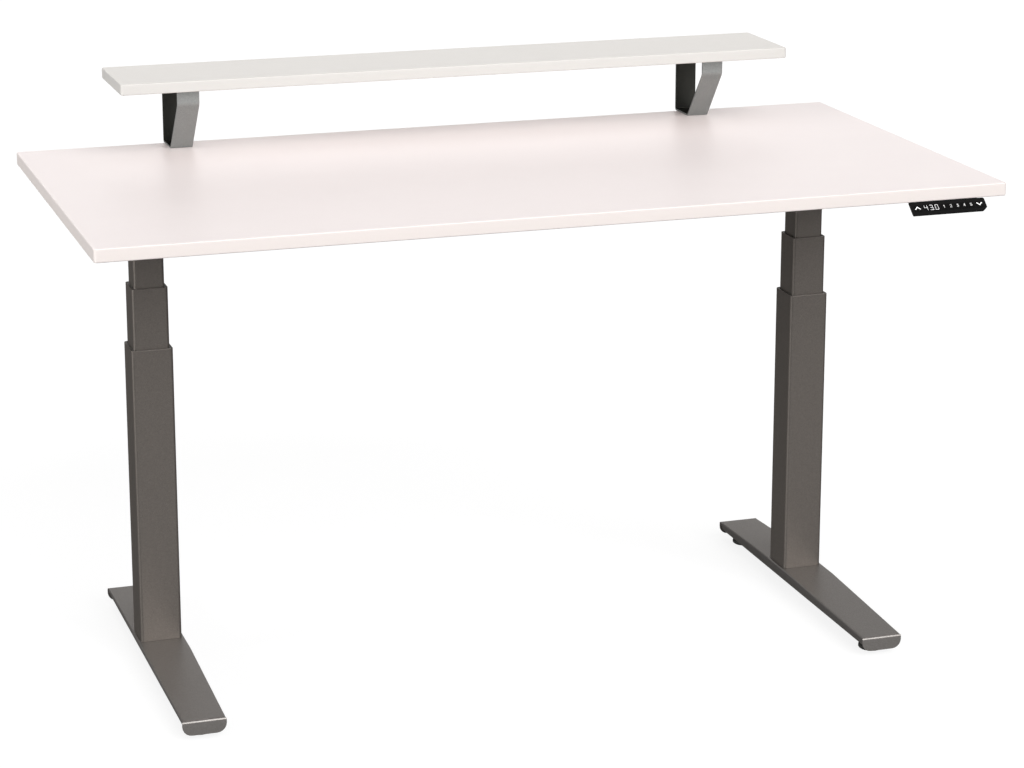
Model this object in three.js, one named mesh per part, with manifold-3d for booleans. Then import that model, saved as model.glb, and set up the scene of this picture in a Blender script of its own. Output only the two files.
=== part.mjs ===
// Electric height-adjustable standing desk with a raised rear shelf.
// Units are millimetres. +Z is up, +X is to the right as seen from the front, and the user stands at -Y.
// The desk is drawn with y = 0 at the middle of the worktop, 194 mm above its lowest height.
// The group is then moved so that the origin is the middle of the base of the desk's bounding box.
import * as THREE from "three";
import { mergeVertices } from "three/addons/utils/BufferGeometryUtils.js";
import Module from "manifold-3d";

const wasm = await Module();
wasm.setup();

// ---- Driving dimensions ----

// Boards
const WORKTOP_WIDTH = 1524;
const WORKTOP_DEPTH = 762;
const WORKTOP_THICK = 22;
const WORKTOP_TOP = 845;
const WORKTOP_CORNER = 5;
const SHELF_X = 5;
const SHELF_WIDTH = 1222;
const SHELF_DEPTH = 182;
const SHELF_THICK = 19;
const SHELF_TOP = 984;
const SHELF_OVERHANG = 10;
const BOARD_ARRIS = 2;

// Shelf brackets, each one bent steel strip, spread evenly about the middle of the shelf
const BRACKET_SPREAD = 485.5;
const BRACKET_WIDTH = 39;
const BRACKET_STRIP = 3;
const BRACKET_FOOT_FRONT = 327;
const BRACKET_HEAD_FRONT = 257;
const BRACKET_KNEE_BELOW_SHELF = 31;
const BRACKET_SCREW_Y = 351;

// Three-stage columns
const COLUMN_X = 598;
const COLUMN_Y = 74.5;
const TUBE_WALL = 2;
const OUTER_TUBE = { width: 71, depth: 71, corner: 5.5, bottom: 45, top: 563 };
const MIDDLE_TUBE = { width: 61.5, depth: 61.5, corner: 5.5, bottom: 163, top: 668 };
const INNER_TUBE = { width: 52, depth: 52, corner: 5, bottom: 275, top: 774 };
const GUIDE_HEIGHT = 30;
const GUIDE_RECESS = 0.4;
const SLIDING_GAP = 0.3;

// Lift screws inside each column
const PLATE_THICK = 6;
const BASE_PUSH_TUBE = { outer: 13, inner: 11.5, top: 425 };
const LOWER_NUT = { outer: 13, inner: 10.6, height: 25 };
const MIDDLE_PUSH_TUBE = { outer: 16, inner: 14, top: 564 };
const BEARING = { outer: 13.4, inner: 10.6, bottom: 550, top: 560 };
const UPPER_NUT = { outer: 16, inner: 6.6, height: 18 };
const HOLLOW_SCREW = { outer: 10, inner: 7, bottom: 174, top: 562 };
const LIFT_SCREW = { outer: 6, bottom: 303, top: 784 };

// Feet
const FOOT_WIDTH = { middle: 82, front: 73, rear: 76 };
const FOOT_FRONT = -306;
const FOOT_REAR = 350;
const FOOT_TOP = 45;
const FOOT_END_TOP = 36;
const FOOT_FLAT_HALF = 84;
const FOOT_SIDE_BOTTOM = 19;
const FOOT_WALL_LEAN = 0.35;
const FOOT_FLAP_BOTTOM = 11;
const FOOT_FLAP_CORNER = 16;
const FOOT_SHEET = 2;
const FOOT_BEND = 2.3;
const FOOT_END_BEND = 4;
const GLIDE_RADIUS = 22;
const GLIDE_INSET = { front: 44, rear: 33 };

// Frame under the worktop
const ARM_WIDTH = 60;
const ARM_SHEET = 3;
const ARM_FRONT = -215;
const ARM_REAR = 345;
const ARM_BOTTOM = 787;
const ARM_END_BOTTOM = 805;
const RAIL_DEPTH = 32;
const RAIL_HEIGHT = 36;
const RAIL_GAP = 60;
const GEARBOX = { width: 52, depth: 84, corner: 6, height: 46 };
const MOTOR_AXIS_Z = 796;
const MOTOR_LENGTH = 86;

// Control box and leads
const BOX_X = 155;
const BOX_Y = 197;
const BOX = { width: 230, depth: 94, height: 32, corner: 5 };
const INLET = { fromEnd: 34, width: 29, depth: 20, height: 23, mouthDepth: 16, pinEnd: 5 };
const MOTOR_LEAD_RADIUS = 2.5;
const HANDSET_LEAD_RADIUS = 2;
const HANDSET_LEAD_X = 460;

// Handset under the front edge
const HANDSET_X = 651;
const HANDSET_WIDTH = 137;
const HANDSET_REACH = 20;
const HANDSET_DROP = 17;
const HANDSET_PANEL_BACK = 4;
const HANDSET_BLOCK = { inset: 12, drop: 6.5, reach: 50 };
const KEY = { width: 10.4, height: 12, thick: 2, proud: 0.4 };
const ARROW_KEY_WIDTH = 12;
const UP_KEY_X = 595.3;
const DOWN_KEY_X = 707.5;
const FIRST_NUMBER_X = 643.3;
const NUMBER_PITCH = 12.25;
const DISPLAY = { x: 620.2, width: 30, height: 13, thick: 1.5 };
const POCKET_GAP = 0.35;
const KEY_TRAVEL = 0.8;

const UNDERSIDE = WORKTOP_TOP - WORKTOP_THICK;
const SHELF_UNDERSIDE = SHELF_TOP - SHELF_THICK;
const WORKTOP_FRONT = -WORKTOP_DEPTH / 2;
const SHELF_REAR = WORKTOP_DEPTH / 2 + SHELF_OVERHANG;
const FACE_TILT = Math.atan2(HANDSET_DROP, HANDSET_REACH);

// ---- Materials ----

const paint = { color: 0x7a756f, roughness: 0.45, metalness: 0.6 };
const laminate = { color: 0xf5ebe9, roughness: 0.4, metalness: 0 };
const steel = { color: 0x9a9a9a, roughness: 0.3, metalness: 1 };
const blackPlastic = { color: 0x161616, roughness: 0.5, metalness: 0 };
const nylon = { color: 0xd8d4c8, roughness: 0.5, metalness: 0 };
const rubber = { color: 0x2a2a2a, roughness: 0.8, metalness: 0 };

// ---- Shapes ----

// An outline through corners given as [x, y, radius].
function outline(corners, steps = 4) {
  const points = [];
  corners.forEach(([x, y, radius = 0], i) => {
    const corner = new THREE.Vector2(x, y);
    if (radius === 0) {
      points.push(corner);
      return;
    }
    const last = corners.at(i - 1);
    const next = corners[(i + 1) % corners.length];
    const back = new THREE.Vector2(last[0], last[1]).sub(corner).normalize();
    const ahead = new THREE.Vector2(next[0], next[1]).sub(corner).normalize();
    const half = Math.acos(back.dot(ahead)) / 2;
    const start = corner.clone().addScaledVector(back, radius / Math.tan(half));
    const end = corner.clone().addScaledVector(ahead, radius / Math.tan(half));
    const bisector = back.clone().add(ahead).normalize();
    const centre = corner.clone().addScaledVector(bisector, radius / Math.sin(half));
    const from = start.clone().sub(centre).angle();
    let sweep = end.clone().sub(centre).angle() - from;
    sweep -= 2 * Math.PI * Math.round(sweep / (2 * Math.PI));
    for (let k = 0; k <= steps; k += 1) {
      const turn = from + (sweep * k) / steps;
      points.push(new THREE.Vector2(Math.cos(turn), Math.sin(turn)).multiplyScalar(radius).add(centre));
    }
  });
  return points;
}

function rectangle(width, depth, corner, steps = 4) {
  const x = width / 2;
  const y = depth / 2;
  return outline([[-x, -y, corner], [x, -y, corner], [x, y, corner], [-x, y, corner]], steps);
}

// A prism that stands on z = bottom, with through holes given as more outlines.
function prism(points, bottom, top, holes = []) {
  const shape = new THREE.Shape(points);
  shape.holes = holes.map((hole) => new THREE.Path(hole));
  const geometry = new THREE.ExtrudeGeometry(shape, { depth: top - bottom, bevelEnabled: false });
  return geometry.translate(0, 0, bottom);
}

// A prism whose outline is drawn in (y, z) and that runs along X from one end to the other.
function prismAlongX(points, from, to, holes = []) {
  const turn = new THREE.Matrix4().makeBasis(
    new THREE.Vector3(0, 1, 0),
    new THREE.Vector3(0, 0, 1),
    new THREE.Vector3(1, 0, 0),
  );
  return prism(points, from, to, holes).applyMatrix4(turn);
}

// A prism whose outline is drawn in (x, z) and that runs along Y from one end to the other.
function prismAlongY(points, from, to) {
  return prism(points, -to, -from).rotateX(Math.PI / 2);
}

// A solid of revolution about Z, from a profile of [radius, z] points that runs upwards on its outside.
function turned(profile, segments = 16) {
  const points = profile.map(([radius, z]) => new THREE.Vector2(radius, z));
  return new THREE.LatheGeometry(points, segments).rotateX(Math.PI / 2);
}

function ring(outer, inner, bottom, top, segments = 16) {
  return turned([[inner, bottom], [outer, bottom], [outer, top], [inner, top], [inner, bottom]], segments);
}

function rod(radius, bottom, top, segments = 16) {
  return turned([[0, bottom], [radius, bottom], [radius, top], [0, top]], segments);
}

// The open U section of a folded sheet channel, drawn in (x, z) and open at the bottom.
// Each side wall leans inwards by the lean times its height.
function channelSection({ halfWidth, bottom, top }, sheet, bend, lean) {
  const low = bottom - bend;
  const roof = top - sheet;
  const outerAt = (z) => halfWidth - lean * (top - z);
  const innerAt = (z) => outerAt(z) - sheet * Math.hypot(1, lean);
  const outer = outline(
    [[-outerAt(low), low], [-halfWidth, top, bend], [halfWidth, top, bend], [outerAt(low), low]],
    3,
  );
  const x = innerAt(roof);
  const inner = outline(
    [[innerAt(low), low], [x, roof, bend - sheet], [-x, roof, bend - sheet], [-innerAt(low), low]],
    3,
  );
  outer[0].set(-outerAt(bottom), bottom);
  outer.at(-1).set(outerAt(bottom), bottom);
  inner[0].set(innerAt(bottom), bottom);
  inner.at(-1).set(-innerAt(bottom), bottom);
  return [...outer, ...inner];
}

// A channel along Y through stations of { y, bottom, top, halfWidth }, closed by a flat face at each end.
function channel(stations, sheet, bend, lean = 0) {
  const sections = stations.map((station) => channelSection(station, sheet, bend, lean));
  const count = sections[0].length;
  const positions = sections.flatMap((section, i) => {
    return section.flatMap((point) => [point.x, stations[i].y, point.y]);
  });
  const index = [];
  for (let i = 0; i + 1 < sections.length; i += 1) {
    for (let k = 0; k < count; k += 1) {
      const a = i * count + k;
      const b = i * count + ((k + 1) % count);
      index.push(a, b + count, a + count);
      index.push(a, b, b + count);
    }
  }
  const cap = THREE.ShapeUtils.triangulateShape(sections[0], []);
  const last = (sections.length - 1) * count;
  for (const [a, b, c] of cap) {
    index.push(a, b, c);
    index.push(last + c, last + b, last + a);
  }
  const geometry = new THREE.BufferGeometry();
  geometry.setAttribute("position", new THREE.Float32BufferAttribute(positions, 3));
  geometry.setIndex(index);
  geometry.computeVertexNormals();
  return geometry;
}

// A flat board with rounded corners in plan and rounded arrises all round.
function board(width, depth, thick, corner) {
  const shape = new THREE.Shape(rectangle(width, depth, corner));
  const geometry = new THREE.ExtrudeGeometry(shape, {
    depth: thick - 2 * BOARD_ARRIS,
    bevelThickness: BOARD_ARRIS,
    bevelSize: BOARD_ARRIS,
    bevelOffset: -BOARD_ARRIS,
    bevelSegments: 3,
  });
  return geometry.translate(0, 0, BOARD_ARRIS - thick);
}

// A round lead along a smooth curve through the points.
function lead(points, radius, steps) {
  const places = points.map((point) => new THREE.Vector3(...point));
  const curve = new THREE.CatmullRomCurve3(places, false, "centripetal");
  const section = [];
  for (let k = 0; k < 12; k += 1) {
    section.push(new THREE.Vector2(radius, 0).rotateAround(new THREE.Vector2(), (k * Math.PI) / 6));
  }
  return new THREE.ExtrudeGeometry(new THREE.Shape(section), { steps, extrudePath: curve });
}

// ---- Joining and cutting ----

function toSolid(geometry) {
  const bare = geometry.clone();
  bare.deleteAttribute("normal");
  bare.deleteAttribute("uv");
  const merged = mergeVertices(bare, 1e-4);
  return new wasm.Manifold(
    new wasm.Mesh({
      numProp: 3,
      vertProperties: new Float32Array(merged.attributes.position.array),
      triVerts: new Uint32Array(merged.index.array),
    }),
  );
}

function toGeometry(solid) {
  const mesh = solid.getMesh();
  const geometry = new THREE.BufferGeometry();
  geometry.setAttribute("position", new THREE.BufferAttribute(mesh.vertProperties, 3));
  geometry.setIndex(new THREE.BufferAttribute(mesh.triVerts, 1));
  geometry.computeVertexNormals();
  return geometry;
}

function join(...geometries) {
  return toGeometry(geometries.map(toSolid).reduce((whole, piece) => whole.add(piece)));
}

function cut(geometry, ...tools) {
  return toGeometry(tools.map(toSolid).reduce((whole, tool) => whole.subtract(tool), toSolid(geometry)));
}

function common(a, b) {
  return toGeometry(toSolid(a).intersect(toSolid(b)));
}

const desk = new THREE.Group();

function addPiece(parent, name, geometry, look) {
  const mesh = new THREE.Mesh(geometry, new THREE.MeshStandardMaterial(look));
  mesh.name = name;
  parent.add(mesh);
  return mesh;
}

// ---- Columns ----

// A square tube with a wall all round.
function tube({ width, depth, corner, bottom, top }) {
  const bore = rectangle(width - 2 * TUBE_WALL, depth - 2 * TUBE_WALL, corner - TUBE_WALL);
  return prism(rectangle(width, depth, corner), bottom, top, [bore]);
}

// The plastic guide that fills the gap between a tube and the stage that slides in it.
function guide(tubeAround, tubeInside) {
  const loss = 2 * (TUBE_WALL + SLIDING_GAP);
  const gain = 2 * SLIDING_GAP;
  const top = tubeAround.top - GUIDE_RECESS;
  const skin = rectangle(tubeAround.width - loss, tubeAround.depth - loss, 4);
  const bore = rectangle(tubeInside.width + gain, tubeInside.depth + gain, 4);
  return prism(skin, top - GUIDE_HEIGHT, top, [bore]);
}

// A push tube that stands on a plate filling the bottom of a column tube.
function pushTube(around, { outer, inner, top }, boredPlate) {
  const width = around.width - 2 * TUBE_WALL - 1;
  const depth = around.depth - 2 * TUBE_WALL - 1;
  const plate = prism(rectangle(width, depth, 4), around.bottom, around.bottom + PLATE_THICK);
  const wall = ring(outer, inner, around.bottom + PLATE_THICK - 1, top);
  const bore = rod(inner, around.bottom - 1, around.bottom + PLATE_THICK + 1);
  return join(boredPlate ? cut(plate, bore) : plate, wall);
}

function motor() {
  const body = turned([
    [0, 0],
    [20, 0],
    [20, 5],
    [18.5, 5],
    [18.5, 70],
    [16, 73],
    [16, MOTOR_LENGTH - 4],
    [5, MOTOR_LENGTH - 4],
    [5, MOTOR_LENGTH],
    [0, MOTOR_LENGTH],
  ], 20);
  return body.rotateY(Math.PI / 2);
}

function gearbox() {
  const { width, depth, corner, height } = GEARBOX;
  const block = prism(rectangle(width, depth, corner), INNER_TUBE.top, INNER_TUBE.top + height);
  return cut(block, rod(7.5, INNER_TUBE.top - 1, INNER_TUBE.top + 12));
}

function addColumn(side, label) {
  const column = new THREE.Group();
  column.position.set(side * COLUMN_X, COLUMN_Y, 0);
  desk.add(column);
  const add = (name, geometry, look) => addPiece(column, name + "_" + label, geometry, look);

  add("outer_tube", tube(OUTER_TUBE), paint);
  add("middle_tube", tube(MIDDLE_TUBE), paint);
  add("inner_tube", tube(INNER_TUBE), paint);
  add("outer_guide", guide(OUTER_TUBE, MIDDLE_TUBE), nylon);
  add("middle_guide", guide(MIDDLE_TUBE, INNER_TUBE), nylon);

  add("base_push_tube", pushTube(OUTER_TUBE, BASE_PUSH_TUBE, false), steel);
  const nutBottom = BASE_PUSH_TUBE.top;
  add("lower_nut", ring(LOWER_NUT.outer, LOWER_NUT.inner, nutBottom, nutBottom + LOWER_NUT.height), nylon);
  add("middle_push_tube", pushTube(MIDDLE_TUBE, MIDDLE_PUSH_TUBE, true), steel);
  add("screw_bearing", ring(BEARING.outer, BEARING.inner, BEARING.bottom, BEARING.top), steel);
  const capBottom = MIDDLE_PUSH_TUBE.top;
  const capTop = capBottom + UPPER_NUT.height;
  add("upper_nut", ring(UPPER_NUT.outer, UPPER_NUT.inner, capBottom, capTop), nylon);
  const screw = HOLLOW_SCREW;
  add("hollow_screw", ring(screw.outer, screw.inner, screw.bottom, screw.top), steel);
  add("lift_screw", rod(LIFT_SCREW.outer, LIFT_SCREW.bottom, LIFT_SCREW.top), steel);

  add("gearbox", gearbox(), blackPlastic);
  const drive = add("motor", motor(), blackPlastic);
  drive.position.set((-side * GEARBOX.width) / 2, 0, MOTOR_AXIS_Z);
  drive.rotation.z = side > 0 ? Math.PI : 0;
}

// ---- Feet ----

// The foot is level and widest around the column, and it falls and narrows towards both ends.
function footStation(y) {
  const end = y < COLUMN_Y ? "front" : "rear";
  const [endY, flatEnd] = {
    front: [FOOT_FRONT, COLUMN_Y - FOOT_FLAT_HALF],
    rear: [FOOT_REAR, COLUMN_Y + FOOT_FLAT_HALF],
  }[end];
  const share = Math.max(0, (y - flatEnd) / (endY - flatEnd));
  return {
    y,
    bottom: FOOT_SIDE_BOTTOM,
    top: FOOT_TOP + (FOOT_END_TOP - FOOT_TOP) * share,
    halfWidth: (FOOT_WIDTH.middle + (FOOT_WIDTH[end] - FOOT_WIDTH.middle) * share) / 2,
  };
}

// The flap that closes one end of the foot. It hangs lower than the side walls.
function footFlap(width, from, to) {
  const half = width / 2;
  const shape = outline([
    [-half, FOOT_FLAP_BOTTOM, FOOT_FLAP_CORNER],
    [half, FOOT_FLAP_BOTTOM, FOOT_FLAP_CORNER],
    [half, FOOT_END_TOP, FOOT_BEND],
    [-half, FOOT_END_TOP, FOOT_BEND],
  ], 5);
  return prismAlongY(shape, from, to);
}

// What is cut away above the bend between the top of the foot and a flap.
function bendWaste(end, inwards) {
  const bend = outline([
    [end, FOOT_END_TOP - 12],
    [end, FOOT_END_TOP, FOOT_END_BEND],
    [end + 12 * inwards, FOOT_END_TOP],
  ]).slice(1, -1);
  const last = bend.at(-1);
  const waste = [...bend, last.clone().setY(60), new THREE.Vector2(end - 2 * inwards, 60)];
  waste.push(new THREE.Vector2(end - 2 * inwards, bend[0].y));
  return prismAlongX(inwards > 0 ? waste.reverse() : waste, -FOOT_WIDTH.middle, FOOT_WIDTH.middle);
}

function foot() {
  const stations = [
    FOOT_FRONT + FOOT_SHEET / 2,
    COLUMN_Y - FOOT_FLAT_HALF,
    COLUMN_Y + FOOT_FLAT_HALF,
    FOOT_REAR - FOOT_SHEET / 2,
  ].map(footStation);
  const pieces = [
    channel(stations, FOOT_SHEET, FOOT_BEND, FOOT_WALL_LEAN),
    footFlap(FOOT_WIDTH.front, FOOT_FRONT, FOOT_FRONT + FOOT_SHEET),
    footFlap(FOOT_WIDTH.rear, FOOT_REAR - FOOT_SHEET, FOOT_REAR),
  ];
  const waste = [bendWaste(FOOT_FRONT, 1), bendWaste(FOOT_REAR, -1)];
  for (const y of [FOOT_FRONT + GLIDE_INSET.front, FOOT_REAR - GLIDE_INSET.rear]) {
    const bossTop = footStation(y).top - 1;
    pieces.push(rod(9, FOOT_SIDE_BOTTOM - 3, bossTop).translate(0, y, 0));
    waste.push(rod(5.4, 0, FOOT_END_TOP - FOOT_SHEET + 1).translate(0, y, 0));
  }
  return cut(join(...pieces), ...waste);
}

function glide() {
  const r = GLIDE_RADIUS;
  return turned([[0, 0], [r - 2, 0], [r, 2], [r, 6], [r - 3, 8], [5, 9], [5, 30], [0, 30]], 20);
}

function addFoot(side, label) {
  const base = new THREE.Group();
  base.position.x = side * COLUMN_X;
  desk.add(base);
  addPiece(base, "foot_" + label, foot(), paint);
  const places = { front: FOOT_FRONT + GLIDE_INSET.front, rear: FOOT_REAR - GLIDE_INSET.rear };
  for (const [end, y] of Object.entries(places)) {
    addPiece(base, "glide_" + label + "_" + end, glide(), rubber).position.y = y;
  }
}

// ---- Frame under the worktop ----

function addArm(side, label) {
  const stations = [
    { y: ARM_FRONT, bottom: ARM_END_BOTTOM },
    { y: COLUMN_Y - 129, bottom: ARM_BOTTOM },
    { y: COLUMN_Y + 129, bottom: ARM_BOTTOM },
    { y: ARM_REAR, bottom: ARM_END_BOTTOM },
  ].map((place) => ({ ...place, top: UNDERSIDE, halfWidth: ARM_WIDTH / 2 }));
  const arm = channel(stations, ARM_SHEET, ARM_SHEET + 1);
  const window = new THREE.BoxGeometry(ARM_SHEET + 4, 48, 40);
  window.translate((-side * (ARM_WIDTH - ARM_SHEET)) / 2, COLUMN_Y, UNDERSIDE - 25);
  addPiece(desk, "side_arm_" + label, cut(arm, window), paint).position.x = side * COLUMN_X;
}

function addRail(name, y) {
  const skin = rectangle(RAIL_DEPTH, RAIL_HEIGHT, 3);
  const bore = rectangle(RAIL_DEPTH - 4, RAIL_HEIGHT - 4, 1);
  const reach = COLUMN_X - ARM_WIDTH / 2;
  const rail = addPiece(desk, name, prismAlongX(skin, -reach, reach, [bore]), paint);
  rail.position.set(0, y, UNDERSIDE - RAIL_HEIGHT / 2);
}

// ---- Boards and shelf brackets ----

function shelfBracket() {
  const rear = SHELF_REAR;
  const foot = BRACKET_FOOT_FRONT;
  const head = BRACKET_HEAD_FRONT;
  const knee = SHELF_UNDERSIDE - BRACKET_KNEE_BELOW_SHELF;
  const strip = BRACKET_STRIP;
  const lean = Math.atan2(foot - head, knee - WORKTOP_TOP);
  // The slanted leg keeps the strip's thickness, so its inner corners shift along the horizontal plates.
  const footShift = strip * Math.tan(Math.PI / 4 - lean / 2);
  const kneeShift = strip * Math.tan(lean / 2);
  const skin = outline([
    [foot, WORKTOP_TOP, 3],
    [rear, WORKTOP_TOP, 5],
    [rear, SHELF_UNDERSIDE, 5],
    [head, SHELF_UNDERSIDE, 5],
    [head, knee, 12],
  ]);
  const window = outline([
    [foot + footShift, WORKTOP_TOP + strip, 1],
    [rear - strip, WORKTOP_TOP + strip, 1],
    [rear - strip, SHELF_UNDERSIDE - strip, 1],
    [head + strip, SHELF_UNDERSIDE - strip, 1],
    [head + strip, knee - kneeShift, 8],
  ]);
  const loop = prismAlongX(skin, -BRACKET_WIDTH / 2, BRACKET_WIDTH / 2, [window]);
  return cut(loop, rod(2.9, WORKTOP_TOP - 1, WORKTOP_TOP + strip + 1).translate(0, BRACKET_SCREW_Y, 0));
}

function bracketX(side) {
  return SHELF_X + side * BRACKET_SPREAD;
}

function addBoards() {
  const pilot = (side) => rod(2.6, -16, 1).translate(bracketX(side), BRACKET_SCREW_Y, 0);
  const top = board(WORKTOP_WIDTH, WORKTOP_DEPTH, WORKTOP_THICK, WORKTOP_CORNER);
  addPiece(desk, "worktop", cut(top, pilot(-1), pilot(1)), laminate).position.z = WORKTOP_TOP;
  const shelf = addPiece(
    desk,
    "shelf_board",
    board(SHELF_WIDTH, SHELF_DEPTH, SHELF_THICK, WORKTOP_CORNER),
    laminate,
  );
  shelf.position.set(SHELF_X, SHELF_REAR - SHELF_DEPTH / 2, SHELF_TOP);
}

function addShelfBracket(side, label) {
  addPiece(desk, "shelf_bracket_" + label, shelfBracket(), paint).position.x = bracketX(side);
  const seat = WORKTOP_TOP + BRACKET_STRIP;
  const shape = turned([[0, -18], [2.2, -16], [2.2, 0.1], [4.8, 0.1], [4.4, 2], [2.5, 3], [0, 3]]);
  const screw = addPiece(desk, "bracket_screw_" + label, shape, steel);
  screw.position.set(bracketX(side), BRACKET_SCREW_Y, seat);
}

// ---- Control box and leads ----

function addControlBox() {
  const { width, depth, height, corner } = BOX;
  const place = [BOX_X, BOX_Y, UNDERSIDE - height];
  const inletX = width / 2 - INLET.fromEnd;
  const recess = new THREE.BoxGeometry(INLET.width + 1, 2 * INLET.depth + 1, INLET.height + 1);
  recess.translate(inletX, depth / 2, height / 2);
  const shell = cut(prism(rectangle(width, depth, corner), 0, height), recess);
  addPiece(desk, "control_box", shell, blackPlastic).position.set(...place);

  // The inlet is drawn with its outer face on y = 0. Its pins end short of that face.
  const socket = new THREE.BoxGeometry(INLET.width, INLET.depth, INLET.height);
  socket.translate(0, -INLET.depth / 2, 0);
  const mouth = new THREE.BoxGeometry(22, 2 * INLET.mouthDepth, 15);
  let inlet = cut(socket, mouth);
  const pinFrom = -INLET.mouthDepth - 1;
  const pinLength = -INLET.pinEnd - pinFrom;
  for (const x of [-6, 0, 6]) {
    const pin = new THREE.BoxGeometry(2, pinLength, 4);
    inlet = join(inlet, pin.translate(x, pinFrom + pinLength / 2, x === 0 ? 2 : -2));
  }
  const seat = [BOX_X + inletX, BOX_Y + depth / 2, UNDERSIDE - height / 2];
  addPiece(desk, "power_inlet", inlet, blackPlastic).position.set(...seat);
}

// The leads pass below the two rails, and reach the control box through its ends.
function addLeads() {
  const motorEnd = COLUMN_X - GEARBOX.width / 2 - MOTOR_LENGTH - SLIDING_GAP;
  const belowRails = UNDERSIDE - RAIL_HEIGHT - MOTOR_LEAD_RADIUS - 1.5;
  const boxLeft = BOX_X - BOX.width / 2;
  const boxRight = BOX_X + BOX.width / 2;
  const boxFront = BOX_Y - BOX.depth / 2;
  const entryY = boxFront + 18;
  const rails = { front: COLUMN_Y - RAIL_GAP / 2, rear: COLUMN_Y + RAIL_GAP / 2 };
  const behindRails = rails.rear + RAIL_DEPTH;

  const leftLead = [
    [-motorEnd, COLUMN_Y, MOTOR_AXIS_Z],
    [-motorEnd + 40, COLUMN_Y, MOTOR_AXIS_Z - 4],
    [boxLeft - 120, COLUMN_Y, belowRails + 8],
    [boxLeft - 62, COLUMN_Y + 10, belowRails + 1],
    [boxLeft - 52, rails.rear + 2, belowRails],
    [boxLeft - 50, behindRails, belowRails],
    [boxLeft - 38, entryY - 4, belowRails + 5],
    [boxLeft - 18, entryY, UNDERSIDE - 21],
    [boxLeft - SLIDING_GAP, entryY, UNDERSIDE - 20],
  ];
  addPiece(desk, "motor_lead_left", lead(leftLead, MOTOR_LEAD_RADIUS, 36), rubber);

  const rightLead = [
    [motorEnd, COLUMN_Y, MOTOR_AXIS_Z],
    [motorEnd - 40, COLUMN_Y, MOTOR_AXIS_Z - 4],
    [boxRight + 90, COLUMN_Y, belowRails + 6],
    [boxRight + 58, COLUMN_Y + 12, belowRails + 1],
    [boxRight + 50, rails.rear + 2, belowRails],
    [boxRight + 48, behindRails, belowRails],
    [boxRight + 38, entryY - 4, belowRails + 5],
    [boxRight + 18, entryY, UNDERSIDE - 21],
    [boxRight + SLIDING_GAP, entryY, UNDERSIDE - 20],
  ];
  addPiece(desk, "motor_lead_right", lead(rightLead, MOTOR_LEAD_RADIUS, 20), rubber);

  const laneY = BOX_Y + 12;
  const clipped = UNDERSIDE - 4;
  const handsetLead = [
    [HANDSET_X - 45, WORKTOP_FRONT + HANDSET_BLOCK.reach + SLIDING_GAP, clipped],
    [HANDSET_X - 45, WORKTOP_FRONT + 75, clipped],
    [HANDSET_LEAD_X, WORKTOP_FRONT + 150, clipped],
    [HANDSET_LEAD_X, rails.front - RAIL_DEPTH - 50, clipped],
    [HANDSET_LEAD_X, rails.front - RAIL_DEPTH - 22, clipped - 4],
    [HANDSET_LEAD_X, rails.front - RAIL_DEPTH - 5, belowRails],
    [HANDSET_LEAD_X, COLUMN_Y, belowRails - 1],
    [HANDSET_LEAD_X, behindRails + 5, belowRails],
    [HANDSET_LEAD_X, behindRails + 22, clipped - 4],
    [HANDSET_LEAD_X - 26, laneY - 6, clipped],
    [HANDSET_LEAD_X - 60, laneY, clipped],
    [boxRight + 60, laneY, clipped],
    [boxRight + 22, laneY, clipped - 4],
    [boxRight + SLIDING_GAP, laneY, clipped - 6],
  ];
  addPiece(desk, "handset_lead", lead(handsetLead, HANDSET_LEAD_RADIUS, 60), rubber);

  const saddle = outline(
    [[-9, 0], [-9, -2], [-4.4, -2], [-4.4, -7, 3], [4.4, -7, 3], [4.4, -2], [9, -2], [9, 0]],
    3,
  );
  const bore = [];
  for (let k = 0; k < 12; k += 1) {
    bore.push(new THREE.Vector2(2.5, 0).rotateAround(new THREE.Vector2(), (k * Math.PI) / 6));
  }
  const hole = bore.map((point) => point.add(new THREE.Vector2(0, -4)));
  const frontSaddle = prism(saddle, -4, 4, [hole]).rotateX(Math.PI / 2);
  const frontClip = addPiece(desk, "lead_clip_front", frontSaddle, blackPlastic);
  frontClip.position.set(HANDSET_LEAD_X, WORKTOP_FRONT + 230, UNDERSIDE);
  const rearClip = addPiece(desk, "lead_clip_rear", prismAlongX(saddle, -4, 4, [hole]), blackPlastic);
  rearClip.position.set(boxRight + 130, laneY, UNDERSIDE);
}

// ---- Handset ----

// The sloping face is a frame of its own: u runs along X, v runs up the slope and w is the outward normal.
function facePlace(x, w) {
  const slope = Math.hypot(HANDSET_REACH, HANDSET_DROP);
  const middleY = WORKTOP_FRONT - HANDSET_REACH / 2;
  const middleZ = UNDERSIDE - HANDSET_DROP / 2;
  const normal = new THREE.Vector3(0, -HANDSET_DROP / slope, HANDSET_REACH / slope);
  return new THREE.Vector3(x, middleY, middleZ).addScaledVector(normal, w);
}

function faceBlock(x, width, height, low, high) {
  const block = prism(rectangle(width, height, 1.2, 2), low, high);
  const centre = facePlace(x, 0);
  return block.rotateX(FACE_TILT).translate(centre.x, centre.y, centre.z);
}

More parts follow.
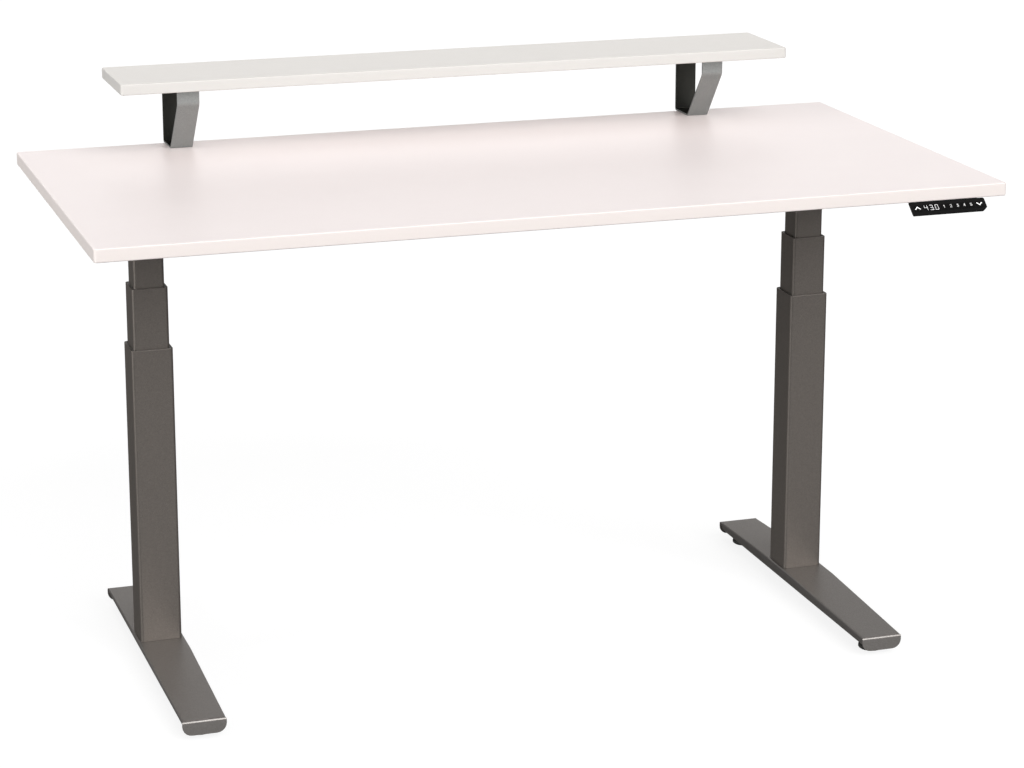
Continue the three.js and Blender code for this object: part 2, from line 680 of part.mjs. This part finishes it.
// The sloping front panel. Its lower right corner is cut off, and its ends taper towards the worktop.
function handsetPanel() {
  const lip = UNDERSIDE - HANDSET_DROP;
  const front = WORKTOP_FRONT - HANDSET_REACH;
  const section = outline([
    [WORKTOP_FRONT, UNDERSIDE],
    [front, lip],
    [front + 1.8, lip - 2],
    [WORKTOP_FRONT + HANDSET_PANEL_BACK, UNDERSIDE - HANDSET_BLOCK.drop],
    [WORKTOP_FRONT + HANDSET_PANEL_BACK, UNDERSIDE],
  ]);
  const half = HANDSET_WIDTH / 2;
  const rise = Math.hypot(HANDSET_REACH, HANDSET_DROP) / 2;
  const face = outline([
    [-half, -rise, 3],
    [half - 9, -rise, 2],
    [half, 7 - rise, 2],
    [half, rise, 2.5],
    [-half, rise, 2.5],
  ], 3);
  const inner = half - 14;
  const taper = outline([[-half, 2], [-half, -1], [-inner, -15], [inner, -15], [half, -1], [half, 2]]);
  const centre = facePlace(HANDSET_X, 0);
  const onFace = (shape) => shape.rotateX(FACE_TILT).translate(centre.x, centre.y, centre.z);
  const block = common(onFace(prism(face, -15, 1)), onFace(prismAlongY(taper, -30, 30)));
  return common(prismAlongX(section, HANDSET_X - half, HANDSET_X + half), block);
}

// The block behind the panel, which is screwed to the underside of the worktop.
function handsetBlock() {
  const { inset, drop, reach } = HANDSET_BLOCK;
  const section = outline([
    [WORKTOP_FRONT + 1, UNDERSIDE],
    [WORKTOP_FRONT + 1, UNDERSIDE - drop],
    [WORKTOP_FRONT + reach, UNDERSIDE - drop, 3],
    [WORKTOP_FRONT + reach, UNDERSIDE],
  ]);
  const half = HANDSET_WIDTH / 2 - inset;
  return prismAlongX(section, HANDSET_X - half, HANDSET_X + half);
}

function addHandset() {
  const keys = [["up", UP_KEY_X, ARROW_KEY_WIDTH]];
  for (let number = 1; number <= 5; number += 1) {
    keys.push([String(number), FIRST_NUMBER_X + NUMBER_PITCH * (number - 1), KEY.width]);
  }
  keys.push(["down", DOWN_KEY_X, ARROW_KEY_WIDTH]);

  const gap = 2 * POCKET_GAP;
  const pockets = keys.map(([, x, width]) => {
    const depth = KEY.thick - KEY.proud + KEY_TRAVEL + POCKET_GAP;
    return faceBlock(x, width + gap, KEY.height + gap, -depth, 2);
  });
  const seat = -DISPLAY.thick - POCKET_GAP;
  pockets.push(faceBlock(DISPLAY.x, DISPLAY.width + gap, DISPLAY.height + gap, seat, 2));
  addPiece(desk, "handset_shell", cut(join(handsetPanel(), handsetBlock()), ...pockets), blackPlastic);
  addPiece(
    desk,
    "handset_display",
    faceBlock(DISPLAY.x, DISPLAY.width, DISPLAY.height, -DISPLAY.thick, 0),
    blackPlastic,
  );
  for (const [name, x, width] of keys) {
    addPiece(
      desk,
      "key_" + name,
      faceBlock(x, width, KEY.height, KEY.proud - KEY.thick, KEY.proud),
      blackPlastic,
    );
  }
}

// ---- Assembly ----

for (const [side, label] of [[-1, "left"], [1, "right"]]) {
  addFoot(side, label);
  addColumn(side, label);
  addArm(side, label);
  addShelfBracket(side, label);
}
addRail("front_rail", COLUMN_Y - (RAIL_GAP + RAIL_DEPTH) / 2);
addRail("rear_rail", COLUMN_Y + (RAIL_GAP + RAIL_DEPTH) / 2);
addBoards();
addControlBox();
addLeads();
addHandset();

// The handset reaches out in front of the worktop and the shelf behind it, so the middle lies between them.
desk.position.y = (HANDSET_REACH - SHELF_OVERHANG) / 2;

export default desk;
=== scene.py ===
"""The looks of an electric height-adjustable standing desk with a raised rear shelf.

Everything is in metres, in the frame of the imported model: +X to the right, -Y towards the user, +Z up.
"""

import math

import bmesh
import bpy
from mathutils import Matrix, Vector


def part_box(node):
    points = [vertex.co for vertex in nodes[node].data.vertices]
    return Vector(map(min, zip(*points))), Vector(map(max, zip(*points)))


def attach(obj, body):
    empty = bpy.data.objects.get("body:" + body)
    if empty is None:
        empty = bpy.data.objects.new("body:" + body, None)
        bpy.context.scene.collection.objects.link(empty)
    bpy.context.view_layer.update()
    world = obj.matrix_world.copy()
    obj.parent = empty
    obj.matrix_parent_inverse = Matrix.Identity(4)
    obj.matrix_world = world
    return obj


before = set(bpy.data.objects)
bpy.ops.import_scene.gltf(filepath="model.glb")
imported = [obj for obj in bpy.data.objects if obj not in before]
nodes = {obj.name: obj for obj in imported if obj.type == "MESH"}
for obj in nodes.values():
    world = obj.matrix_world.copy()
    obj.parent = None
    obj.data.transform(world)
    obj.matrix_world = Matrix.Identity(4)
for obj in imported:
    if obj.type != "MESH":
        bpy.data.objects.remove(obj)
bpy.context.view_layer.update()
scene = bpy.context.scene

SIDES = ("left", "right")
MM = 0.001

# Camera, in metres, degrees and millimetres
CAMERA_AIM = (0.0426, 0.0664, 0.5925)
CAMERA_DISTANCE = 5.0612
CAMERA_AZIMUTH = -18.03
CAMERA_ELEVATION = 14.58
SENSOR_WIDTH = 36.0
LENS = 101.91
SHIFT_Y = -0.0820
NEAREST = 0.05
FARTHEST = 100

# Light. A strength of 1 makes a white face that looks straight at it as bright as paper.
SKY_STRENGTH = 0.32
FLOOR_GLOW = 0.84
FLOOR_SHARE = 0.22
FLOOR_HALF = 30

# Azimuth, elevation, strength and spread of each soft light
SUNS = {
    "key": (14, 30, 0.82, 45),
    "overhead": (10, 75, 0.11, 60),
    "left_fill": (-80, 12, 0.62, 30),
    "rear_fill": (165, 10, 0.13, 40),
}

# How much of its shine the powder coat keeps at a grazing angle
GRAZING_TINT = 0.35

# Painted shade on the brackets: a shelf bracket's rear leg lies behind this Y, and this height is between its
# foot and its head
BRACKET_REAR_LEG = 0.385
BRACKET_MIDDLE = 0.9
# How squarely a face of the bracket has to look forwards or upwards to take the painted shade of the
# bracket's loop
FACING = 0.7

# Upright faces of a board take its darker upright colour as painted shade, and level ones its top colour
LEVEL_ABOVE = 0.75
EDGE_BELOW = 0.55

# Fine edges: angles in degrees, lengths in metres
SMOOTH_ANGLE = 38
BEVEL_ANGLE = 40
FLAT_ANGLE = 0.4
WELD_DISTANCE = 1e-6
TUBE_EDGE = 1.0 * MM
SHEET_EDGE = 0.6 * MM
RAIL_EDGE = 0.5 * MM
NYLON_EDGE = 0.4 * MM
STEEL_EDGE = 0.3 * MM
PLASTIC_EDGE = 0.3 * MM
FINE_EDGE = 0.2 * MM
GEARBOX_EDGE = 1.5 * MM
CONTROL_BOX_EDGE = 1.2 * MM
NO_EDGE = 0

# A face of the handset whose normal has a larger Z than this looks upwards
UPWARD = 0.3

# Handset symbols, in metres: width and height, stroke, and places on the faces
PRINT_THICK = 0.06 * MM
SYMBOL_RISE = 0.8 * MM
ARROW_SIZE = (8.6 * MM, 4.4 * MM)
ARROW_STROKE = 1.7 * MM
NUMBER_SIZE = (2.8 * MM, 4.8 * MM)
NUMBER_STROKE = 0.8 * MM
DIGIT_SIZE = (5.0 * MM, 9.4 * MM)
DIGIT_STROKE = 0.65 * MM
DIGIT_SPACING = 9.8 * MM
POINT_STROKE = 0.6 * MM
POINT_PLACE = 4.9 * MM

# A mitre reaches no further than the half width divided by this, and an open end passes its last point
# by this share of the half width
MITRE_LIMIT = 0.3
END_SHARE = 0.6


# ---- Camera, light and floor ----

def direction(azimuth, elevation):
    """The unit vector from the object towards a point at that azimuth and elevation."""
    a = math.radians(azimuth)
    e = math.radians(elevation)
    return Vector((math.sin(a) * math.cos(e), -math.cos(a) * math.cos(e), math.sin(e)))


def add_camera():
    data = bpy.data.cameras.new("camera")
    camera = bpy.data.objects.new("camera", data)
    scene.collection.objects.link(camera)
    back = direction(CAMERA_AZIMUTH, CAMERA_ELEVATION)
    camera.location = Vector(CAMERA_AIM) + back * CAMERA_DISTANCE
    camera.rotation_mode = "QUATERNION"
    camera.rotation_quaternion = (-back).to_track_quat("-Z", "Y")
    data.sensor_width = SENSOR_WIDTH
    data.lens = LENS
    data.shift_y = SHIFT_Y
    data.clip_start = NEAREST
    data.clip_end = FARTHEST
    scene.camera = camera


def add_sun(name, azimuth, elevation, strength, spread):
    """A soft directional light, spread over that many degrees of the studio."""
    data = bpy.data.lights.new(name, "SUN")
    data.energy = math.pi * strength
    data.angle = math.radians(spread)
    light = bpy.data.objects.new(name, data)
    scene.collection.objects.link(light)
    light.rotation_mode = "QUATERNION"
    light.rotation_quaternion = (-direction(azimuth, elevation)).to_track_quat("-Z", "Y")


def add_studio():
    """White surroundings, the soft lights and the floor."""
    world = bpy.data.worlds.new("studio")
    scene.world = world
    world.use_nodes = True
    tree = world.node_tree
    seen = tree.nodes.new("ShaderNodeLightPath").outputs["Is Camera Ray"]
    strength = tree.nodes.new("ShaderNodeMapRange")
    strength.inputs["To Min"].default_value = SKY_STRENGTH
    strength.inputs["To Max"].default_value = 1.0
    tree.links.new(seen, strength.inputs["Value"])
    tree.links.new(strength.outputs["Result"], tree.nodes["Background"].inputs["Strength"])
    tree.nodes["Background"].inputs["Color"].default_value = (1.0, 1.0, 1.0, 1)
    for name, sun in SUNS.items():
        add_sun(name, *sun)
    scene.view_settings.view_transform = "Standard"
    scene.view_settings.look = "None"

    corners = [(x * FLOOR_HALF, y * FLOOR_HALF, 0) for x, y in ((-1, -1), (1, -1), (1, 1), (-1, 1))]
    mesh = bpy.data.meshes.new("floor")
    mesh.from_pydata(corners, [], [range(4)])
    floor = bpy.data.objects.new("floor", mesh)
    scene.collection.objects.link(floor)
    mesh.materials.append(floor_material())


# ---- Material tools ----

class Look:
    """A material with a Principled shader, and short ways to add texture nodes to it."""

    def __init__(self, name, colour, roughness, metallic=0.0):
        self.material = bpy.data.materials.new(name)
        self.material.use_nodes = True
        self.tree = self.material.node_tree
        self.shader = self.tree.nodes["Principled BSDF"]
        self.colour = colour
        self.set("Base Color", (*colour, 1))
        self.set("Roughness", roughness)
        self.set("Metallic", metallic)
        self.place = self.add("ShaderNodeTexCoord").outputs["Object"]

    def add(self, kind, **settings):
        node = self.tree.nodes.new(kind)
        for key, value in settings.items():
            setattr(node, key, value)
        return node

    def set(self, socket, value):
        self.shader.inputs[socket].default_value = value

    def link(self, source, target):
        self.tree.links.new(source, target)

    def noise(self, scale, detail=2.0):
        node = self.add("ShaderNodeTexNoise")
        node.inputs["Scale"].default_value = scale
        node.inputs["Detail"].default_value = detail
        self.link(self.place, node.inputs["Vector"])
        return node.outputs["Fac"]

    def cells(self, scale):
        """A value from 0 to 1 that is another one in each small cell."""
        node = self.add("ShaderNodeTexVoronoi")
        node.inputs["Scale"].default_value = scale
        self.link(self.place, node.inputs["Vector"])
        bright = self.add("ShaderNodeSeparateColor")
        self.link(node.outputs["Color"], bright.inputs["Color"])
        return bright.outputs["Red"]

    def remap(self, value, low, high, start=0.0, end=1.0):
        """The value with start to end turned into low to high."""
        node = self.add("ShaderNodeMapRange")
        node.inputs["From Min"].default_value = start
        node.inputs["From Max"].default_value = end
        node.inputs["To Min"].default_value = low
        node.inputs["To Max"].default_value = high
        self.link(value, node.inputs["Value"])
        return node.outputs["Result"]

    def math(self, operation, a, b=0.0):
        node = self.add("ShaderNodeMath", operation=operation)
        for socket, value in zip(node.inputs, (a, b)):
            if isinstance(value, (int, float)):
                socket.default_value = value
            else:
                self.link(value, socket)
        return node.outputs["Value"]

    def parts(self, vector):
        """The X, Y and Z of a vector."""
        node = self.add("ShaderNodeSeparateXYZ")
        self.link(vector, node.inputs["Vector"])
        return node.outputs

    def facing(self):
        """The X, Y and Z of the direction that the surface faces."""
        return self.parts(self.add("ShaderNodeNewGeometry").outputs["True Normal"])

    def scaled(self, colour, factor):
        """The colour times a factor that varies over the surface."""
        node = self.add("ShaderNodeVectorMath", operation="SCALE")
        if isinstance(colour, tuple):
            node.inputs["Vector"].default_value = colour
        else:
            self.link(colour, node.inputs["Vector"])
        self.link(factor, node.inputs["Scale"])
        return node.outputs["Vector"]

    def mix(self, factor, a, b):
        node = self.add("ShaderNodeMix", data_type="RGBA")
        self.link(factor, node.inputs["Factor"])
        for socket, value in ((node.inputs["A"], a), (node.inputs["B"], b)):
            if isinstance(value, tuple):
                socket.default_value = (*value, 1)
            else:
                self.link(value, socket)
        return node.outputs["Result"]

    def bump(self, height, depth, strength=1.0):
        node = self.add("ShaderNodeBump")
        node.inputs["Strength"].default_value = strength
        node.inputs["Distance"].default_value = depth
        self.link(height, node.inputs["Height"])
        self.link(node.outputs["Normal"], self.shader.inputs["Normal"])

    def paint(self, colour):
        self.link(colour, self.shader.inputs["Base Color"])

    def mottle(self, pattern, low, high):
        """Paints the material's own colour, made darker or lighter by a pattern."""
        self.paint(self.scaled(self.colour, self.remap(pattern, low, high)))

    def rough(self, value):
        self.link(value, self.shader.inputs["Roughness"])


# ---- Materials ----

def floor_material():
    """White seamless paper, which throws back less light than it shows."""
    look = Look("floor_paper", (FLOOR_SHARE, FLOOR_SHARE, FLOOR_SHARE), 0.9)
    look.mottle(look.noise(1.5), 0.99, 1.01)
    look.set("Specular IOR Level", 0.0)
    look.set("Emission Color", (1, 1, 1, 1))
    seen = look.add("ShaderNodeLightPath").outputs["Is Camera Ray"]
    look.link(look.remap(seen, 0.0, FLOOR_GLOW), look.shader.inputs["Emission Strength"])
    return look.material


def laminate_material(name, colour, upright_colour_with_painted_shade):
    """Satin laminate, with its upright edges painted darker than its top as painted shade."""
    look = Look(name, colour, 0.4)
    look.set("Specular IOR Level", 0.3)
    cloud = look.remap(look.noise(9, 3), 0.985, 1.015)
    grain = look.remap(look.noise(1400, 2), 0.985, 1.015)
    levelness = look.math("ABSOLUTE", look.facing()["Z"])
    # Upright faces take the darker colour: painted shade
    painted_shade_mask = look.remap(levelness, 1.0, 0.0, EDGE_BELOW, LEVEL_ABOVE)
    tone = look.mix(painted_shade_mask, look.colour, upright_colour_with_painted_shade)
    look.paint(look.scaled(tone, look.math("MULTIPLY", cloud, grain)))
    look.rough(look.remap(look.noise(60, 3), 0.36, 0.46))
    look.bump(look.noise(1100, 3), 0.00004, 0.35)
    return look.material


def powder_look(name, colour, metallic):
    """Satin powder coat with fine metal flakes."""
    look = Look(name, colour, 0.45, metallic)
    look.set("Specular IOR Level", 0.35)
    look.set("Specular Tint", (GRAZING_TINT, GRAZING_TINT, GRAZING_TINT, 1))
    flakes = look.remap(look.cells(1900), 0.84, 1.16)
    clouds = look.remap(look.noise(260, 3), 0.92, 1.08)
    drift = look.remap(look.noise(5, 2), 0.97, 1.03)
    factor = look.math("MULTIPLY", look.math("MULTIPLY", flakes, clouds), drift)
    look.paint(look.scaled(look.colour, factor))
    look.rough(look.remap(look.noise(500, 2), 0.36, 0.50))
    look.bump(look.noise(1300, 3), 0.00008, 0.4)
    return look


def powder_material(name, colour, metallic):
    return powder_look(name, colour, metallic).material


def bracket_material_with_painted_shade(name, colour, inner, metallic):
    """The light powder coat of a bracket, with painted shade darkening the faces within its loop on the rear
    leg and the foot.
    """
    look = powder_look(name, colour, metallic)
    place = look.parts(look.place)
    normal = look.facing()
    faces_front = look.math("LESS_THAN", normal["Y"], -FACING)
    on_rear_leg = look.math("GREATER_THAN", place["Y"], BRACKET_REAR_LEG)
    faces_up = look.math("GREATER_THAN", normal["Z"], FACING)
    on_foot = look.math("LESS_THAN", place["Z"], BRACKET_MIDDLE)
    # Where the painted shade goes: forward faces of the rear leg and upward faces of the bracket's foot
    rear = look.math("MULTIPLY", faces_front, on_rear_leg)
    low = look.math("MULTIPLY", faces_up, on_foot)
    outside = look.shader.inputs["Base Color"].links[0].from_socket
    look.paint(look.mix(look.math("ADD", rear, low), outside, inner))
    return look.material


def steel_material():
    look = Look("zinc_steel", (0.60, 0.60, 0.58), 0.3, 1.0)
    look.mottle(look.noise(300, 3), 0.85, 1.1)
    look.rough(look.remap(look.noise(900, 2), 0.22, 0.42))
    look.bump(look.noise(2500, 2), 0.00003, 0.4)
    return look.material


def plastic_material(name, colour, roughness, grain=1500, shine=0.25):
    """Moulded plastic, or paint as smooth as that, with a fine grain."""
    look = Look(name, colour, roughness)
    look.set("Specular IOR Level", shine)
    look.mottle(look.noise(25, 3), 0.9, 1.1)
    look.rough(look.remap(look.noise(grain, 2), roughness - 0.06, roughness + 0.08))
    look.bump(look.noise(grain, 3), 0.00006, 0.5)
    return look.material


def window_material():
    """The glossy dark window of the display."""
    look = Look("display_window", (0.003, 0.003, 0.0035), 0.12)
    look.set("Specular IOR Level", 0.1)
    look.mottle(look.noise(80, 2), 0.9, 1.1)
    look.rough(look.remap(look.noise(400, 3), 0.08, 0.16))
    return look.material


def print_material(name, colour, glow):
    """A printed or lit figure, which glows a little: the lit display's own light, and painted light on the
    printed key symbols.
    """
    look = Look(name, colour, 0.5)
    look.mottle(look.noise(2500, 2), 0.94, 1.06)
    look.set("Emission Color", (*colour, 1))
    look.set("Emission Strength", glow)
    return look.material


# ---- Fine edges on the CAD nodes ----

def smoothing_group(name, merge):
    """Geometry nodes that can merge vertices and that shade smooth except across sharp edges."""
    group = bpy.data.node_groups.new(name, "GeometryNodeTree")
    group.interface.new_socket("Geometry", in_out="INPUT", socket_type="NodeSocketGeometry")
    group.interface.new_socket("Geometry", in_out="OUTPUT", socket_type="NodeSocketGeometry")
    add = group.nodes.new
    start = add("NodeGroupInput").outputs[0]
    if merge:
        weld = add("GeometryNodeMergeByDistance")
        weld.inputs["Distance"].default_value = WELD_DISTANCE
        group.links.new(start, weld.inputs["Geometry"])
        start = weld.outputs["Geometry"]
    faces = add("GeometryNodeSetShadeSmooth")
    faces.domain = "FACE"
    group.links.new(start, faces.inputs["Geometry"])
    angle = add("GeometryNodeInputMeshEdgeAngle")
    sharp = add("FunctionNodeCompare")
    sharp.data_type = "FLOAT"
    sharp.operation = "GREATER_THAN"
    sharp.inputs["B"].default_value = math.radians(SMOOTH_ANGLE)
    group.links.new(angle.outputs["Unsigned Angle"], sharp.inputs["A"])
    edges = add("GeometryNodeSetShadeSmooth")
    edges.domain = "EDGE"
    edges.inputs["Shade Smooth"].default_value = False
    group.links.new(faces.outputs["Geometry"], edges.inputs["Geometry"])
    group.links.new(sharp.outputs["Result"], edges.inputs["Selection"])
    group.links.new(edges.outputs["Geometry"], add("NodeGroupOutput").inputs[0])
    return group


WELD = smoothing_group("weld_and_smooth", True)
SMOOTH = smoothing_group("smooth", False)


def fine_edges(piece, width, segments=2):
    """Merges the flat facets of a piece, rounds its sharp edges and shades what is left smooth."""
    piece.modifiers.new("weld", "NODES").node_group = WELD
    flat = piece.modifiers.new("flat", "DECIMATE")
    flat.decimate_type = "DISSOLVE"
    flat.angle_limit = math.radians(FLAT_ANGLE)
    if width:
        bevel = piece.modifiers.new("bevel", "BEVEL")
        bevel.width = width
        bevel.segments = segments
        bevel.limit_method = "ANGLE"
        bevel.angle_limit = math.radians(BEVEL_ANGLE)
        bevel.miter_outer = "MITER_ARC"
    piece.modifiers.new("smooth", "NODES").node_group = SMOOTH
    normals = piece.modifiers.new("normals", "WEIGHTED_NORMAL")
    normals.keep_sharp = True


def dress(name, material, width, segments=2):
    """Gives a CAD node its material and its fine edges."""
    piece = nodes[name]
    piece.data.materials.clear()
    piece.data.materials.append(material)
    fine_edges(piece, width, segments)


# ---- New pieces ----

def add_mesh(name, build, material, body):
    """A new piece whose mesh is made by build(bm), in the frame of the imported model."""
    mesh = bpy.data.meshes.new(name)
    bm = bmesh.new()
    build(bm)
    bmesh.ops.recalc_face_normals(bm, faces=bm.faces)
    bm.to_mesh(mesh)
    bm.free()
    mesh.materials.append(material)
    piece = bpy.data.objects.new(name, mesh)
    scene.collection.objects.link(piece)
    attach(piece, body)


def ribbon(bm, points, width, thick, matrix):
    """A flat stroke with mitred corners along the points (x, y), standing thick above the plane."""
    half = width / 2
    path = [Vector(p) for p in points]
    left, right = [], []
    for i, point in enumerate(path):
        before = (point - path[i - 1]).normalized() if i > 0 else None
        after = (path[i + 1] - point).normalized() if i + 1 < len(path) else None
        along = ((before or after) + (after or before)).normalized()
        side = Vector((-along.y, along.x))
        reach = half / max(MITRE_LIMIT, side.dot(Vector((-(after or before).y, (after or before).x))))
        outwards = (after is None) - (before is None)
        end = point + along * half * END_SHARE * outwards
        left.append(end + side * reach)
        right.append(end - side * reach)
    outline = left + right[::-1]
    low = [bm.verts.new(matrix @ Vector((p.x, p.y, 0))) for p in outline]
    high = [bm.verts.new(matrix @ Vector((p.x, p.y, thick))) for p in outline]
    count = len(outline)
    last = len(left) - 1
    for i in range(last):
        a, b, c, d = i, i + 1, count - 2 - i, count - 1 - i
        bm.faces.new([high[a], high[b], high[c], high[d]])
        bm.faces.new([low[d], low[c], low[b], low[a]])
    for i in range(count):
        k = (i + 1) % count
        bm.faces.new([low[i], low[k], high[k], high[i]])


# ---- Handset symbols ----

# Strokes of each figure on a grid 1 wide and 2 high, or half as high as wide for the arrows
DIGIT_GRID_HEIGHT = 2
ARROW_GRID_HEIGHT = 0.5
ARROWS = ("up", "down")
FIGURES = {
    "1": [[(0.15, 1.55), (0.6, 2), (0.6, 0)]],
    "2": [[(0, 1.7), (0.25, 2), (0.75, 2), (1, 1.7), (1, 1.35), (0, 0), (1, 0)]],
    "3": [[(0, 2), (1, 2), (0.45, 1.2), (0.8, 1.1), (1, 0.75), (1, 0.35), (0.7, 0), (0.25, 0), (0, 0.3)]],
    "4": [[(0.75, 0), (0.75, 2), (0, 0.6), (1.05, 0.6)]],
    "5": [[(1, 2), (0.1, 2), (0.05, 1.15), (0.6, 1.25), (1, 0.95), (1, 0.35), (0.7, 0), (0.25, 0), (0, 0.3)]],
    "display_4": [[(0, 2), (0, 1), (1, 1)], [(1, 2), (1, 0)]],
    "display_3": [[(0, 2), (1, 2), (1, 0), (0, 0)], [(0.2, 1), (1, 1)]],
    "display_0": [[(0, 1), (0, 0), (1, 0), (1, 2), (0, 2), (0, 1)]],
    "point": [[(0.5, 0.0), (0.5, 0.1)]],
    "up": [[(0, 0), (0.5, 0.5), (1, 0)]],
    "down": [[(0, 0.5), (0.5, 0), (1, 0.5)]],
}


def tilt_of(node):
    """How far the largest upward face of a node leans towards the user."""
    mesh = nodes[node].data
    upward = [face for face in mesh.polygons if face.normal.z > UPWARD]
    best = max(upward, key=lambda face: face.area)
    return math.atan2(-best.normal.y, best.normal.z)


FACE_TURN = Matrix.Rotation(tilt_of("handset_display"), 4, "X")


def face_matrix(node):
    """A frame on top of a key or window: x to the right, y up its slope and z out of its face."""
    low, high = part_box(node)
    normal = FACE_TURN @ Vector((0, 0, 1))
    reach = [normal.dot(vertex.co) for vertex in nodes[node].data.vertices]
    thickness = max(reach) - min(reach)
    return Matrix.Translation((low + high) / 2 + normal * thickness / 2) @ FACE_TURN


def add_figure(name, figure, node, x, size, stroke, material, body):
    """One printed or lit figure on the face of a node, x to the right of the face's middle."""
    width, height = size
    grid_height = ARROW_GRID_HEIGHT if figure in ARROWS else DIGIT_GRID_HEIGHT
    place = face_matrix(node) @ Matrix.Translation((x, SYMBOL_RISE, 0))

    def build(bm):
        for line in FIGURES[figure]:
            points = [((u - 0.5) * width, (v / grid_height - 0.5) * height) for u, v in line]
            ribbon(bm, points, stroke, PRINT_THICK, place)

    add_mesh(name, build, material, body)


def add_symbols():
    # The glow of the printed key symbols is painted light; the display digits glow with their own light
    white = print_material("white_print", (0.95, 0.95, 0.94), 0.25)
    grey = print_material("pale_print_painted_glow", (0.72, 0.72, 0.71), 0.1)
    for arrow in ARROWS:
        key = "key_" + arrow
        add_figure("symbol_" + arrow, arrow, key, 0, ARROW_SIZE, ARROW_STROKE, white, key)
    for number in "12345":
        key = "key_" + number
        add_figure("symbol_" + number, number, key, 0, NUMBER_SIZE, NUMBER_STROKE, grey, key)

    def add_lit(name, figure, x, stroke):
        add_figure(name, figure, "handset_display", x, DIGIT_SIZE, stroke, white, "lifting_top")

    for figure, step in (("display_4", -1), ("display_3", 0), ("display_0", 1)):
        add_lit(figure, figure, step * DIGIT_SPACING, DIGIT_STROKE)
    add_lit("display_point", "point", POINT_PLACE, POINT_STROKE)


# ---- Dressing the desk ----

def dress_desk():
    """Every CAD node with its material and the width of its rounded edges."""
    # The second colour of each board, for its upright faces, is darker as painted shade
    worktop = laminate_material("worktop_laminate", (0.90, 0.82, 0.805), (0.86, 0.79, 0.76))
    # The shelf board takes a darker copy of the worktop laminate, as painted shade
    shelf = laminate_material("shelf_laminate_painted_darker", (0.71, 0.68, 0.645), (0.65, 0.635, 0.61))
    powder = powder_material("grey_powder_coat", (0.214, 0.192, 0.174), metallic=0.80)
    # The feet take a lighter copy of the columns' powder coat, as painted light on their upward faces
    foot = powder_material("foot_powder_coat_painted_lighter", (0.285, 0.268, 0.255), metallic=0.80)
    # Painted shade for the faces within a bracket's loop
    loop_painted_shade = (0.042, 0.043, 0.039)
    silver = bracket_material_with_painted_shade("silver_powder_coat_with_painted_shade", (0.335, 0.35, 0.345), loop_painted_shade, metallic=0.75)
    steel = steel_material()
    nylon = plastic_material("grey_nylon", (0.16, 0.155, 0.15), 0.5, grain=800)
    motor = plastic_material("black_motor_paint", (0.02, 0.02, 0.021), 0.4)
    glide = plastic_material("glide_plastic", (0.035, 0.034, 0.032), 0.55, grain=900)
    lead = plastic_material("lead_jacket", (0.018, 0.018, 0.018), 0.5, grain=700)
    black = plastic_material("black_plastic", (0.004, 0.004, 0.004), 0.5, shine=0.1)
    key = plastic_material("key_plastic", (0.003, 0.003, 0.003), 0.42, shine=0.08)

    dress("worktop", worktop, NO_EDGE)
    dress("shelf_board", shelf, NO_EDGE)
    for name in ("front_rail", "rear_rail"):
        dress(name, powder, RAIL_EDGE)
    for side in SIDES:
        for stage in ("outer", "middle", "inner"):
            dress(f"{stage}_tube_{side}", powder, TUBE_EDGE)
        dress(f"foot_{side}", foot, SHEET_EDGE)
        dress(f"side_arm_{side}", powder, SHEET_EDGE)
        dress(f"shelf_bracket_{side}", silver, SHEET_EDGE)
        for name in ("base_push_tube", "middle_push_tube", "screw_bearing", "hollow_screw", "lift_screw"):
            dress(f"{name}_{side}", steel, STEEL_EDGE)
        dress(f"bracket_screw_{side}", steel, FINE_EDGE)
        for name in ("outer_guide", "middle_guide", "lower_nut", "upper_nut"):
            dress(f"{name}_{side}", nylon, NYLON_EDGE)
        dress(f"gearbox_{side}", motor, GEARBOX_EDGE, segments=3)
        dress(f"motor_{side}", motor, SHEET_EDGE)
        for end in ("front", "rear"):
            dress(f"glide_{side}_{end}", glide, SHEET_EDGE)
        dress(f"motor_lead_{side}", lead, NO_EDGE)
    dress("handset_lead", lead, NO_EDGE)
    for name in ("lead_clip_front", "lead_clip_rear", "power_inlet", "handset_shell"):
        dress(name, black, PLASTIC_EDGE)
    dress("control_box", black, CONTROL_BOX_EDGE, segments=3)
    dress("handset_display", window_material(), FINE_EDGE)
    for name in (*ARROWS, *"12345"):
        dress("key_" + name, key, PLASTIC_EDGE)


add_camera()
add_studio()
dress_desk()
add_symbols()
